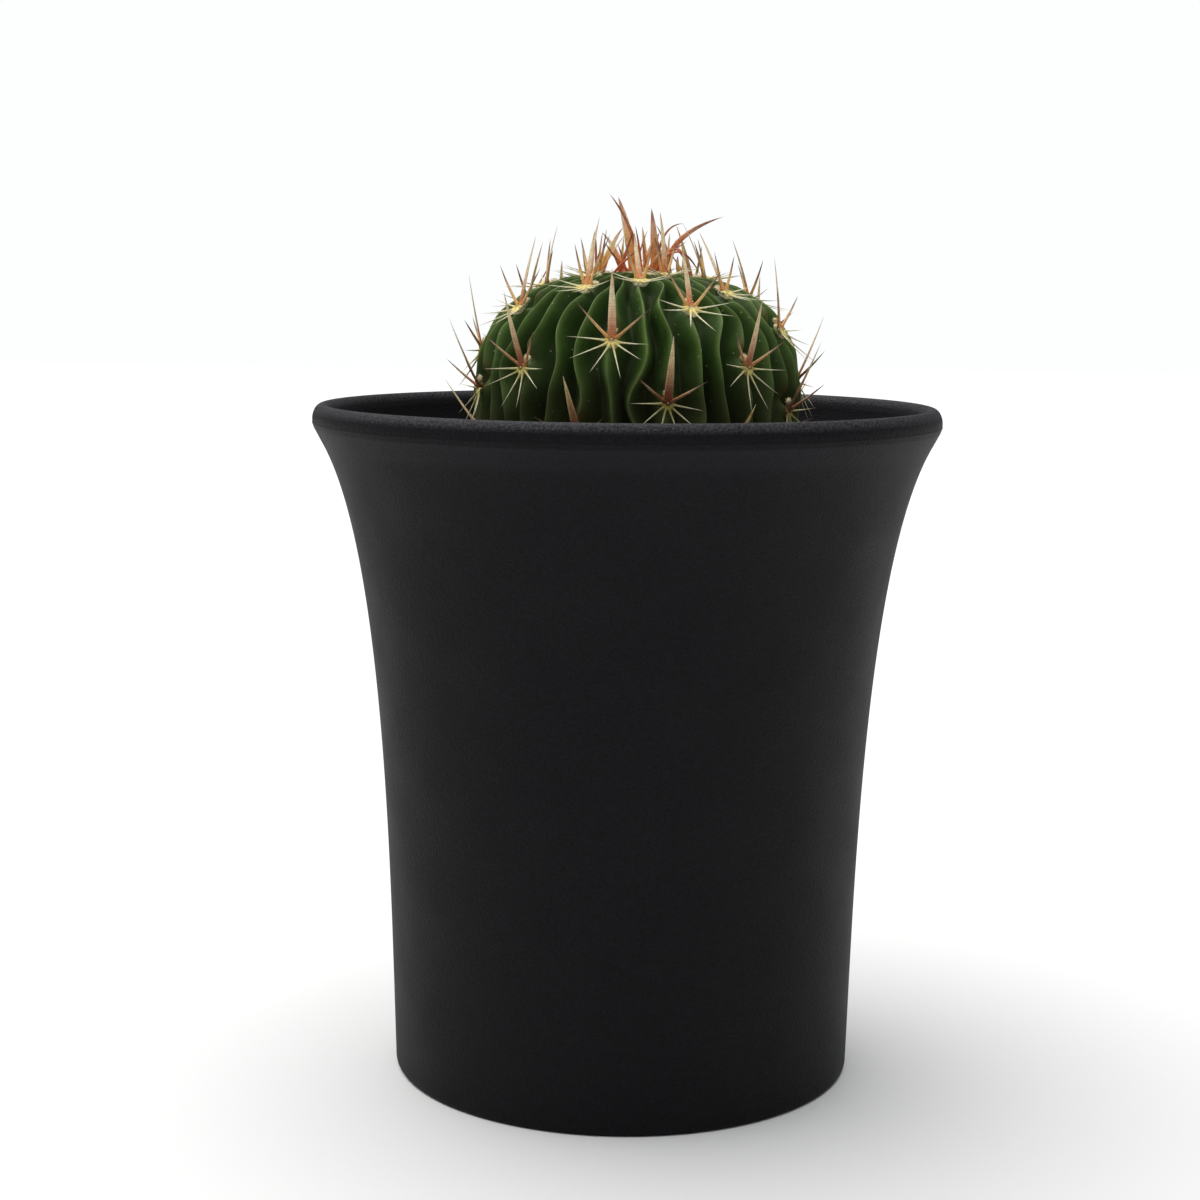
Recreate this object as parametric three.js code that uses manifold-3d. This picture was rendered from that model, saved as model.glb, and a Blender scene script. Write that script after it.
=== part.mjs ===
// A round, many-ribbed cactus growing in a flared black plastic pot.
// Millimetres, +Z up. The origin is the centre of the circle that the pot stands on.
import * as THREE from "three";
import { mergeVertices } from "three/addons/utils/BufferGeometryUtils.js";
import Module from "manifold-3d";

const wasm = await Module();
wasm.setup();

// Pot
const POT_HEIGHT = 110;
const FOOT_RADIUS = 37.9;
const RIM_RADIUS = 50.95;
const WALL = 1.8;
const BEAD_WIDTH = 3.2;
const BEAD_HEIGHT = 4.8;
const WALL_END = [0.3, 3.3]; // where the wall runs into the bead: outside and below its centre
const LOWER_HANDLE = [0.8, 0.23]; // wall curve's first handle: mm outside the foot, share of height
const UPPER_HANDLE = [1.0, 0.82]; // and its second handle
const FOOT_RING = 3;
const FOOT_EDGE = 0.8;
const FLOOR_RISE = 2.5; // the floor's underside stands clear of the table
const FLOOR = 2;
const CENTRE_DRAIN_RADIUS = 5;
const DRAIN_RADIUS = 3.5;
const DRAIN_CIRCLE = 24;
const DRAIN_COUNT = 6;

// Soil
const SOIL_DROP = 14; // from the rim's top down to the soil
const GAP = 0.3; // between pieces that rest against each other

// Stem
const PLANT_OFFSET = 1.6; // the plant stands a little to one side of the pot's centre
const STEM_RADIUS = 26.5;
const WAIST_RISE = 14; // from the soil up to where the stem is widest
const DOME_RISE = 21.2;
const DOME_POWER = 2.7; // 2 is an ellipse, more is squarer in the shoulder
const COLLAR_RADIUS = 23.5; // where the stem enters the soil
const ROOT_DEPTH = 22;
const RIBS = 34;
const RIB_DEPTH = 4.4;
const RIB_SWAY = 3.4; // degrees that an areole pushes the neighbouring ribs aside
const SWAY_REACH = 6.5; // and how far along the rib, in mm
const GROOVE_SHAPE = [0, 0.4, 1, 0.4]; // depth share across one rib, from its crest
const STEM_RINGS = 10;
const FACETS = 40; // flat sides round each turned piece

// Areoles: the felted cushions that carry the spines, set along one spiral
const SPIRAL_TURN = 13 / RIBS; // of a circle from each areole to the next younger one
const SPIRAL_START = -10; // degrees from the front
const FIRST_AREOLE = -16; // the lowest, just above the soil
const LAST_AREOLE = 19; // the youngest with a node of its own
const AREOLE_PLACE = 0.527; // areole 0's share of the way from the crown to the soil
const AREOLE_STEP = 0.0232;
const AREOLE_CROWDING = 0.00011;
const UNEVEN_GROWTH = new Map([
  [-11, -0.03],
  [-10, -0.065],
  [-5, -0.026],
  [-3, 0.012],
  [2, 0.015],
  [3, -0.04],
  [8, -0.045],
  [10, 0.028],
]);
const PAD = [1.0, 1.25, 0.7]; // half sizes of a cushion: across, along the rib, outwards
const CROWN_HEIGHT = 2;

// Spines: turn and rise in degrees, turn clockwise from the crown's direction, rise off the surface
const CENTRAL = { turn: -3, rise: 27, length: 10.2, width: 1.35, thickness: 0.45, bow: 1.2 };
const LATERALS = [
  { turn: -52, rise: 30, length: 7.4, width: 0.6, thickness: 0.5, bow: 0.5 },
  { turn: 50, rise: 30, length: 7.2, width: 0.6, thickness: 0.5, bow: 0.5 },
];
const RADIAL = { rise: 20, length: 6.1, width: 0.5, thickness: 0.45, bow: 0.2 };
const RADIAL_TURNS = [-86, -118, -152, 172, 131, 96];
const YOUNG_RISE = 38; // how much steeper the youngest spines stand
const YOUNG_FROM = 9; // areoles younger than this one start to differ
const SOIL_CLEARANCE = 0.8;
const CROWN_SPINES = [
  // heading from the front and lean from upright in degrees, foot as a share of the cap's radius
  { heading: 117, foot: 0.8, lean: 52, length: 12.5, width: 1.4, bow: 2.6 },
  { heading: -158, foot: 0.6, lean: 4, length: 12.6, width: 1.8, bow: 0.4 },
  { heading: -74, foot: 0.3, lean: 18, length: 13.6, width: 1.3, bow: -1 },
  { heading: 62, foot: 0.4, lean: 2, length: 11.4, width: 1.4, bow: 0.5 },
  { heading: 150, foot: 0.8, lean: 30, length: 9.5, width: 0.8, bow: 1.5 },
  { heading: -24, foot: 0.8, lean: 8, length: 8.5, width: 1.2, bow: -0.6 },
];

const FINISH = {
  pot: { color: 0x1f1e21, roughness: 0.62, metalness: 0 },
  soil: { color: 0x4a3f36, roughness: 0.95, metalness: 0 },
  stem: { color: 0x24491f, roughness: 0.5, metalness: 0 },
  spines: { color: 0xb98a62, roughness: 0.55, metalness: 0 },
  crown: { color: 0xc08a62, roughness: 0.6, metalness: 0 },
};

const SOIL_TOP = POT_HEIGHT - SOIL_DROP;
const WAIST_HEIGHT = SOIL_TOP + WAIST_RISE;
const degrees = THREE.MathUtils.degToRad;

// Solids and geometries

/** A closed geometry as a solid that can be joined and cut. */
function toSolid(geometry) {
  const bare = geometry.index ? geometry.toNonIndexed() : geometry.clone();
  bare.deleteAttribute("normal");
  bare.deleteAttribute("uv");
  const merged = mergeVertices(bare, 1e-4);
  const vertProperties = merged.attributes.position.array;
  const triVerts = new Uint32Array(merged.index.array);
  return new wasm.Manifold(new wasm.Mesh({ numProp: 3, vertProperties, triVerts }));
}

function toGeometry(solid) {
  const { vertProperties, triVerts } = solid.getMesh();
  const geometry = new THREE.BufferGeometry();
  geometry.setAttribute("position", new THREE.BufferAttribute(vertProperties, 3));
  geometry.setIndex(new THREE.BufferAttribute(triVerts, 1));
  const faceted = geometry.toNonIndexed();
  faceted.computeVertexNormals();
  return faceted;
}

const joined = (solids) => solids.reduce((whole, next) => whole.add(next));

/** A round body about the Z axis, from its outline of [radius, height] points. */
function turned(outline, segments) {
  const points = outline.map(([radius, height]) => new THREE.Vector2(radius, height));
  return new THREE.LatheGeometry(points, segments).rotateX(Math.PI / 2);
}

function meshOf(name, geometry, finish) {
  const mesh = new THREE.Mesh(geometry, new THREE.MeshStandardMaterial(finish));
  mesh.name = name;
  return mesh;
}

// Pot: one moulding, with a curved wall, a rolled bead for a rim, a foot ring and drain holes

const BEAD_CENTRE_RADIUS = RIM_RADIUS - BEAD_WIDTH / 2;
const BEAD_CENTRE_HEIGHT = POT_HEIGHT - BEAD_HEIGHT / 2;
const WALL_TOP = BEAD_CENTRE_HEIGHT - WALL_END[1];
const WALL_TOP_RADIUS = BEAD_CENTRE_RADIUS + WALL_END[0];

const wallCurve = new THREE.CubicBezierCurve(
  new THREE.Vector2(FOOT_RADIUS, 0),
  new THREE.Vector2(FOOT_RADIUS + LOWER_HANDLE[0], LOWER_HANDLE[1] * WALL_TOP),
  new THREE.Vector2(FOOT_RADIUS + UPPER_HANDLE[0], UPPER_HANDLE[1] * WALL_TOP),
  new THREE.Vector2(WALL_TOP_RADIUS, WALL_TOP),
);

/** The wall's outer radius at a height, found by halving along its curve. */
function wallRadius(height) {
  let low = 0;
  let high = 1;
  for (let i = 0; i < 40; i++) {
    const middle = (low + high) / 2;
    if (wallCurve.getPoint(middle).y < height) low = middle;
    else high = middle;
  }
  return wallCurve.getPoint(low).x;
}

const evenly = (from, to, steps) =>
  Array.from({ length: steps + 1 }, (_, i) => from + ((to - from) * i) / steps);

function potSolid() {
  const wallHeights = evenly(FOOT_EDGE, WALL_TOP, 7);
  const floorTop = FLOOR_RISE + FLOOR;
  const outside = wallHeights.map((z) => [wallRadius(z), z]);
  const bead = evenly(-45, 180, 5).map((angle) => [
    BEAD_CENTRE_RADIUS + (BEAD_WIDTH / 2) * Math.cos(degrees(angle)),
    BEAD_CENTRE_HEIGHT + (BEAD_HEIGHT / 2) * Math.sin(degrees(angle)),
  ]);
  const inside = evenly(WALL_TOP, floorTop, 7).map((z) => [wallRadius(z) - WALL, z]);
  const outline = [
    [0, FLOOR_RISE],
    [FOOT_RADIUS - FOOT_RING, FLOOR_RISE],
    [FOOT_RADIUS - FOOT_RING, 0],
    [FOOT_RADIUS - FOOT_EDGE, 0],
    ...outside,
    ...bead,
    ...inside,
    [0, floorTop],
  ];
  const shell = toSolid(turned(outline, FACETS));
  return shell.subtract(joined(drainHoles()));
}

function drainHoles() {
  const reach = FLOOR_RISE + FLOOR + 2;
  const hole = (radius, x, y) => {
    const pin = new THREE.CylinderGeometry(radius, radius, 2 * reach, 10);
    return toSolid(pin.rotateX(Math.PI / 2).translate(x, y, 0));
  };
  const around = evenly(0, 2 * Math.PI, DRAIN_COUNT)
    .slice(1)
    .map((angle) => hole(DRAIN_RADIUS, DRAIN_CIRCLE * Math.cos(angle), DRAIN_CIRCLE * Math.sin(angle)));
  return [hole(CENTRE_DRAIN_RADIUS, 0, 0), ...around];
}

// Stem: its outline from the crown down, the ribs in its surface, and the root neck in the soil

/** The buried end as [radius, height] points: a blunt parabola, with an allowance all round. */
function rootOutline(allowance) {
  return evenly(0, 1, 4).map((share) => [
    share < 1 ? COLLAR_RADIUS * (1 - share * share) + allowance : 0,
    SOIL_TOP - ROOT_DEPTH * share - (share < 1 ? 0 : 2 * allowance),
  ]);
}

/** The part above the soil: a superellipse dome, then a taper that steepens towards the soil. */
function shootOutline() {
  const dome = evenly(0, Math.PI / 2, 240).map((a) => [
    STEM_RADIUS * Math.sin(a) ** (2 / DOME_POWER),
    WAIST_HEIGHT + DOME_RISE * Math.max(0, Math.cos(a)) ** (2 / DOME_POWER),
  ]);
  const taper = evenly(0, 1, 40).map((share) => [
    STEM_RADIUS - (STEM_RADIUS - COLLAR_RADIUS) * share * share,
    WAIST_HEIGHT - (WAIST_HEIGHT - SOIL_TOP) * share,
  ]);
  return [...dome, ...taper.slice(1)];
}

const shoot = shootOutline();
const shootArc = [0];
for (let i = 1; i < shoot.length; i++) {
  const step = Math.hypot(shoot[i][0] - shoot[i - 1][0], shoot[i][1] - shoot[i - 1][1]);
  shootArc.push(shootArc[i - 1] + step);
}
const SHOOT_LENGTH = shootArc[shootArc.length - 1];

/** The outline at a distance from the crown: radius, height, and the direction it runs in. */
function outlineAt(arc) {
  const at = Math.min(Math.max(arc, 0), SHOOT_LENGTH - 1e-6);
  const i = Math.max(1, shootArc.findIndex((length) => length > at));
  const share = (at - shootArc[i - 1]) / (shootArc[i] - shootArc[i - 1]);
  const [r0, z0] = shoot[i - 1];
  const [r1, z1] = shoot[i];
  const length = Math.hypot(r1 - r0, z1 - z0);
  return {
    radius: r0 + (r1 - r0) * share,
    height: z0 + (z1 - z0) * share,
    outward: (r1 - r0) / length,
    downward: (z1 - z0) / length,
  };
}

/** How far areole k is from the crown along the outline. */
function areoleArc(k) {
  const even = AREOLE_PLACE - AREOLE_STEP * k + AREOLE_CROWDING * k * Math.abs(k);
  return SHOOT_LENGTH * (even + (UNEVEN_GROWTH.get(k) ?? 0));
}

const areoleHeading = (k) => degrees(SPIRAL_START) - 2 * Math.PI * SPIRAL_TURN * k;

const areoles = [];
for (let k = FIRST_AREOLE; k <= LAST_AREOLE; k++) {
  areoles.push({ k, arc: areoleArc(k), heading: areoleHeading(k) });
}

/** The signed angle from one heading to another, within half a turn. */
const between = (from, to) => Math.atan2(Math.sin(to - from), Math.cos(to - from));

/** A rib's heading where the areoles beside it push it aside: most at one rib's distance. */
function swayed(heading, arc) {
  const spacing = (2 * Math.PI) / RIBS;
  return areoles.reduce((turnedTo, areole) => {
    const aside = between(areole.heading, heading) / spacing;
    const along = (arc - areole.arc) / SWAY_REACH;
    const push = aside * Math.exp(0.5 - 0.5 * aside * aside - along * along);
    return turnedTo + degrees(RIB_SWAY) * push;
  }, heading);
}

function stemGeometry() {
  const columns = RIBS * GROOVE_SHAPE.length;
  const arcs = evenly(0, SHOOT_LENGTH, STEM_RINGS).slice(1);
  const rings = arcs.map((arc) => {
    const { radius, height, outward, downward } = outlineAt(arc);
    const depth = RIB_DEPTH * (radius / STEM_RADIUS);
    return evenly(0, columns - 1, columns - 1).map((column) => {
      const even = degrees(SPIRAL_START) + (2 * Math.PI * column) / columns;
      const heading = swayed(even, arc);
      const inset = depth * GROOVE_SHAPE[column % GROOVE_SHAPE.length];
      const r = radius + downward * inset;
      return [r * Math.sin(heading), -r * Math.cos(heading), height - outward * inset];
    });
  });
  const neck = rootOutline(0).slice(1, -1);
  for (const [radius, height] of neck) {
    rings.push(
      rings[arcs.length - 1].map(([x, y]) => {
        const shrink = radius / COLLAR_RADIUS;
        return [x * shrink, y * shrink, height];
      }),
    );
  }
  return stitched(rings, [0, 0, shoot[0][1]], [0, 0, SOIL_TOP - ROOT_DEPTH]);
}

/** Rings of equal count, top to bottom, closed at each end by a point: headings run anticlockwise. */
function stitched(rings, top, bottom) {
  const count = rings[0].length;
  const positions = [...rings.flat(), top, bottom].flat();
  const topIndex = rings.length * count;
  const index = [];
  for (let i = 0; i < count; i++) {
    const j = (i + 1) % count;
    index.push(topIndex, i, j);
    for (let ring = 0; ring + 1 < rings.length; ring++) {
      const here = ring * count;
      const below = here + count;
      index.push(here + i, below + i, below + j, here + i, below + j, here + j);
    }
    const last = (rings.length - 1) * count;
    index.push(topIndex + 1, last + j, last + i);
  }
  const geometry = new THREE.BufferGeometry();
  geometry.setAttribute("position", new THREE.Float32BufferAttribute(positions, 3));
  geometry.setIndex(index);
  geometry.computeVertexNormals();
  return geometry;
}

// Soil: a plug that fills the pot to below the rim, with a socket for the root neck

function soilSolid() {
  const bottom = FLOOR_RISE + FLOOR + GAP;
  const side = evenly(bottom, SOIL_TOP, 7).map((z) => [wallRadius(z) - WALL - 2 * GAP, z]);
  const plug = toSolid(turned([[0, bottom], ...side, [0, SOIL_TOP]], FACETS));
  const mouth = [COLLAR_RADIUS + GAP, SOIL_TOP + 1];
  const socket = turned([[0, SOIL_TOP + 1], mouth, ...rootOutline(GAP)].reverse(), FACETS);
  return plug.subtract(toSolid(socket.translate(PLANT_OFFSET, 0, 0)));
}

// Areoles and their spines

/** A repeatable number from -1 to 1 for one spine, so that no two clusters are alike. */
function vary(k, spine) {
  const mixed = Math.sin(k * 12.9898 + spine * 78.233) * 43758.5453;
  return 2 * (mixed - Math.floor(mixed)) - 1;
}

/** The crest of a rib as built: a straight line between the two rings of the stem about it. */
function crestAt(arc) {
  const step = SHOOT_LENGTH / STEM_RINGS;
  const above = outlineAt(step * Math.floor(arc / step));
  const below = outlineAt(step * Math.ceil(arc / step));
  const share = arc / step - Math.floor(arc / step);
  return {
    radius: above.radius + (below.radius - above.radius) * share,
    height: above.height + (below.height - above.height) * share,
  };
}

/** The place of an areole on the rib's crest, and its three directions. */
function areoleFrame({ arc, heading }) {
  const { outward, downward } = outlineAt(arc);
  const { radius, height } = crestAt(arc);
  const [sin, cos] = [Math.sin(heading), Math.cos(heading)];
  const out = new THREE.Vector3(-downward * sin, downward * cos, outward);
  const up = new THREE.Vector3(-outward * sin, outward * cos, -downward);
  const side = new THREE.Vector3(cos, sin, 0);
  const crest = new THREE.Vector3(radius * sin, -radius * cos, height);
  return { crest, out, up, side };
}

/** A spine as a tapered, bowed blade: rings across it from the foot on, then a sharp tip. */
function spineSolid(foot, direction, flatSide, { length, width, thickness, bow, bowTo }) {
  const sides = width > 1 ? 4 : 3;
  const stations = width > 1 ? [0, 0.5] : bow > 0.3 ? [0, 0.5] : [0];
  const across = flatSide.clone().addScaledVector(direction, -flatSide.dot(direction)).normalize();
  const through = direction.clone().cross(across);
  const pathAt = (share) =>
    foot
      .clone()
      .addScaledVector(direction, length * share)
      .addScaledVector(bowTo, bow * share * share);
  const positions = [];
  for (const share of stations) {
    const taper = (1 - share ** 1.6) / 2;
    for (let i = 0; i < sides; i++) {
      const angle = (2 * Math.PI * i) / sides;
      const point = pathAt(share)
        .addScaledVector(across, width * taper * Math.cos(angle))
        .addScaledVector(through, thickness * taper * Math.sin(angle));
      positions.push(...point.toArray());
    }
  }
  positions.push(...pathAt(1).toArray());
  const tip = stations.length * sides;
  const index = [];
  for (let i = 0; i < sides; i++) {
    const j = (i + 1) % sides;
    if (i > 0 && j > 0) index.push(0, j, i);
    for (let ring = 0; ring + 1 < stations.length; ring++) {
      const here = ring * sides;
      const next = here + sides;
      index.push(here + i, here + j, next + j, here + i, next + j, next + i);
    }
    index.push(tip - sides + i, tip - sides + j, tip);
  }
  const geometry = new THREE.BufferGeometry();
  geometry.setAttribute("position", new THREE.Float32BufferAttribute(positions, 3));
  geometry.setIndex(index);
  return toSolid(geometry);
}

function padSolid(centre, { side, up, out }) {
  const basis = new THREE.Matrix4().makeBasis(side, up, out).setPosition(centre);
  const ball = new THREE.IcosahedronGeometry(1).scale(...PAD).applyMatrix4(basis);
  return toSolid(ball);
}

/** One cushion with its cluster of spines, on the crest of a rib. */
function areoleSolid(areole) {
  const { k } = areole;
  const frame = areoleFrame(areole);
  const { crest, out, up, side } = frame;
  const youth = THREE.MathUtils.clamp((k - YOUNG_FROM) / (LAST_AREOLE - YOUNG_FROM), 0, 1);
  const centre = crest.clone().addScaledVector(out, GAP + PAD[2]);
  const solids = [padSolid(centre, frame)];
  const grow = (kind, turn, rise, length, order) => {
    const about = degrees(turn + 5 * vary(k, order));
    const off = degrees(rise + YOUNG_RISE * youth + 3 * vary(k, order + 10));
    const direction = up
      .clone()
      .multiplyScalar(Math.cos(about) * Math.cos(off))
      .addScaledVector(side, Math.sin(about) * Math.cos(off))
      .addScaledVector(out, Math.sin(off));
    const drop = -direction.z * length;
    const room = centre.z - SOIL_TOP - SOIL_CLEARANCE;
    const fitted = length * Math.min(1, drop > 0 ? room / drop : 1);
    solids.push(spineSolid(centre, direction, side, { ...kind, length: fitted, bowTo: up }));
  };
  grow(CENTRAL, CENTRAL.turn, CENTRAL.rise, CENTRAL.length * (1 + 0.06 * vary(k, 1)), 1);
  LATERALS.forEach((kind, i) => {
    grow(kind, kind.turn, kind.rise, kind.length * (1 + 0.12 * vary(k, i + 2)), i + 2);
  });
  RADIAL_TURNS.forEach((turn, i) => {
    const length = RADIAL.length * (1 - 0.55 * youth) * (1 + 0.1 * vary(k, i + 4));
    grow(RADIAL, turn, RADIAL.rise, length, i + 4);
  });
  return joined(solids);
}

/** The woolly cap over the growing point, with the youngest spines standing in it. */
function crownSolid() {
  const base = shoot[0][1] + GAP;
  const capRadius = areoleArc(LAST_AREOLE) - PAD[1] - GAP;
  const cap = evenly(0, 90, 3).map((angle) => [
    angle < 90 ? capRadius * Math.cos(degrees(angle)) : 0,
    base + CROWN_HEIGHT * Math.sin(degrees(angle)),
  ]);
  const solids = [toSolid(turned([[0, base], ...cap], 16))];
  const upright = new THREE.Vector3(0, 0, 1);
  for (const { heading, foot, lean, length, width, bow } of CROWN_SPINES) {
    const away = new THREE.Vector3(Math.sin(degrees(heading)), -Math.cos(degrees(heading)), 0);
    const across = away.clone().cross(upright);
    const start = away.clone().multiplyScalar(foot * capRadius);
    start.z = base + CROWN_HEIGHT / 4;
    const direction = upright
      .clone()
      .multiplyScalar(Math.cos(degrees(lean)))
      .addScaledVector(away, Math.sin(degrees(lean)));
    const shape = { length, width, thickness: CENTRAL.thickness, bow, bowTo: upright };
    solids.push(spineSolid(start, direction, across, shape));
  }
  return joined(solids);
}

// The whole object

const cactus = new THREE.Group();
cactus.add(meshOf("pot", toGeometry(potSolid()), FINISH.pot));
cactus.add(meshOf("soil", toGeometry(soilSolid()), FINISH.soil));

const plant = new THREE.Group();
plant.position.x = PLANT_OFFSET;
plant.add(meshOf("stem", stemGeometry(), FINISH.stem));
plant.add(meshOf("crown", toGeometry(crownSolid()), FINISH.crown));
areoles.forEach((areole, i) => {
  const name = `areole_${String(i + 1).padStart(2, "0")}`;
  plant.add(meshOf(name, toGeometry(areoleSolid(areole)), FINISH.spines));
});
cactus.add(plant);

export default cactus;
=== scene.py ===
"""A round, many-ribbed cactus in a flared black plastic pot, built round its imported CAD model.

Lengths are worked out in millimetres and turned into metres as each mesh is made.
The origin is the centre of the circle that the pot stands on, +Z is up and -Y is the front.
"""

import bmesh
import bpy
import numpy as np
from mathutils import Matrix


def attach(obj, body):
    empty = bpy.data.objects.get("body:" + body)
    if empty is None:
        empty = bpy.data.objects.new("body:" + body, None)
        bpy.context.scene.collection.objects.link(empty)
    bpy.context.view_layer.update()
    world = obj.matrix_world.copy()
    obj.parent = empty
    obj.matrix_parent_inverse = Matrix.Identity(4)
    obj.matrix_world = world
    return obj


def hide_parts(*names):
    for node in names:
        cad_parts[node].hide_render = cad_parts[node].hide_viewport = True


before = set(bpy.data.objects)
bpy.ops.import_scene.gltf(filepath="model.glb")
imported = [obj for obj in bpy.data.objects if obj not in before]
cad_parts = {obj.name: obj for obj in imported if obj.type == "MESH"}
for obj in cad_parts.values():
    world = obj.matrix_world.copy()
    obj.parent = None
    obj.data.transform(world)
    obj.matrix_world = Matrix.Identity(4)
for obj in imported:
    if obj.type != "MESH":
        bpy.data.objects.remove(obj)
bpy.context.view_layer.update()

# --- Studio -------------------------------------------------------------------------------------
# A white table that runs out of sight, one broad soft light from above, a little behind and to
# the left, and a weak glow from all round. The camera is level with the top of the stem and
# looks slightly down.


def node_material(name):
    """A new material with its node tree and its Principled shader."""
    material = bpy.data.materials.new(name)
    material.use_nodes = True
    return material, material.node_tree, material.node_tree.nodes["Principled BSDF"]


def mesh_piece(name, vertices, faces, materials, material_of_face=None):
    """A smooth mesh object from millimetre vertices and faces of any size, at the origin."""
    mesh = bpy.data.meshes.new(name)
    mesh.from_pydata(np.asarray(vertices) * 0.001, [], faces)
    for material in materials:
        mesh.materials.append(material)
    if material_of_face is not None:
        mesh.polygons.foreach_set("material_index", material_of_face)
    mesh.polygons.foreach_set("use_smooth", np.ones(len(mesh.polygons), bool))
    mesh.validate()
    mesh.update()
    piece = bpy.data.objects.new(name, mesh)
    bpy.context.scene.collection.objects.link(piece)
    return piece


TABLE_SIZE = 6000
table_paint, _, shader = node_material("white_table")
shader.inputs["Base Color"].default_value = (0.9, 0.905, 0.905, 1)
shader.inputs["Roughness"].default_value = 0.8
shader.inputs["Specular IOR Level"].default_value = 0.1
corners = np.array([[-1, -1, 0], [1, -1, 0], [1, 1, 0], [-1, 1, 0]]) * TABLE_SIZE / 2
table = mesh_piece("table_top", corners, [[0, 1, 2, 3]], [table_paint])

world = bpy.data.worlds.new("studio")
world.use_nodes = True
bpy.context.scene.world = world
world_nodes = world.node_tree.nodes
world_links = world.node_tree.links
glow = world_nodes["Background"]
glow.inputs["Color"].default_value = (0.93, 0.97, 1.0, 1)
glow.inputs["Strength"].default_value = 0.26
backdrop = world_nodes.new("ShaderNodeBackground")
backdrop.inputs["Color"].default_value = (0.985, 0.995, 1.0, 1)
light_path = world_nodes.new("ShaderNodeLightPath")
either = world_nodes.new("ShaderNodeMixShader")
world_links.new(light_path.outputs["Is Camera Ray"], either.inputs["Fac"])
world_links.new(glow.outputs["Background"], either.inputs[1])
world_links.new(backdrop.outputs["Background"], either.inputs[2])
world_links.new(either.outputs["Shader"], world_nodes["World Output"].inputs["Surface"])

softbox = bpy.data.lights.new("overhead_softbox", "SUN")
softbox.energy = 3.3
softbox.angle = np.radians(75)
softbox.color = (1.0, 0.99, 0.97)
softbox_stand = bpy.data.objects.new("overhead_softbox", softbox)
softbox_stand.rotation_euler = (np.radians(-10), np.radians(-12), 0)
bpy.context.scene.collection.objects.link(softbox_stand)

CAMERA_PLACE = (-4.14, -359.5, 129.65)
CAMERA_DOWN = np.radians(8.225)
CAMERA_ROLL = np.radians(0.498)
lens = bpy.data.cameras.new("camera")
lens.lens = 66
lens.sensor_width = 36
lens.clip_start = 0.01
camera = bpy.data.objects.new("camera", lens)
tilt = Matrix.Rotation(np.pi / 2 - CAMERA_DOWN, 4, "X") @ Matrix.Rotation(CAMERA_ROLL, 4, "Z")
camera.matrix_world = Matrix.Translation(np.array(CAMERA_PLACE) * 0.001) @ tilt
bpy.context.scene.collection.objects.link(camera)
bpy.context.scene.camera = camera
bpy.context.scene.view_settings.view_transform = "Standard"


# --- Pot ----------------------------------------------------------------------------------------
# One injection moulding of black polypropylene. The wall flares in one long curve and ends in a
# rolled bead. A thin parting line runs round the bead, and the foot has a ring and drain holes.
POT_HEIGHT = 110
FOOT_RADIUS = 37.9
RIM_RADIUS = 50.95
WALL = 1.8
BEAD_WIDTH = 3.2
BEAD_HEIGHT = 4.8
BEAD_TURN = (-44, 178)  # degrees of the bead's oval, from straight outwards
WALL_END = (0.3, 3.3)  # where the wall runs into the bead: outside and below its centre
LOWER_HANDLE = (0.8, 0.23)  # wall curve's first handle: mm outside the foot, share of height
UPPER_HANDLE = (1.0, 0.82)  # and its second handle
FOOT_RING = 3
FOOT_EDGE = 0.8
RING_CHAMFERS = (0.5, 0.3)  # inside the foot ring, at the floor and at the table
FLOOR_RISE = 2.5
FLOOR_TOP = 4.5
FLOOR_FILLET = 2
FLAT_FLOOR_MARGIN = 8  # from the foot ring in to the flat of the floor
CENTRE_DRAIN_RADIUS = 5
DRAIN_RADIUS = 3.5
DRAIN_CIRCLE = 24
DRAIN_COUNT = 6
PARTING_LINE = 0.07
PARTING_DROP = 3.0  # from the rim's top down to the parting line
PARTING_WIDTH = 0.12


def wall_outline(count):
    """The outside of the wall as [radius, height] rows: one cubic curve from the foot to the bead."""
    t = np.linspace(0, 1, count)[:, None]
    top = POT_HEIGHT - BEAD_HEIGHT / 2 - WALL_END[1]
    start = np.array([FOOT_RADIUS, 0])
    low_handle = np.array([FOOT_RADIUS + LOWER_HANDLE[0], LOWER_HANDLE[1] * top])
    high_handle = np.array([FOOT_RADIUS + UPPER_HANDLE[0], UPPER_HANDLE[1] * top])
    end = np.array([RIM_RADIUS - BEAD_WIDTH / 2 + WALL_END[0], top])
    return (
        (1 - t) ** 3 * start
        + 3 * (1 - t) ** 2 * t * low_handle
        + 3 * (1 - t) * t**2 * high_handle
        + t**3 * end
    )


def arc_outline(centre, radii, from_angle, to_angle, count):
    """Part of an ellipse as [radius, height] rows, angles in degrees from straight outwards."""
    angle = np.radians(np.linspace(from_angle, to_angle, count))
    return np.column_stack(
        [centre[0] + radii[0] * np.cos(angle), centre[1] + radii[1] * np.sin(angle)]
    )


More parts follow.
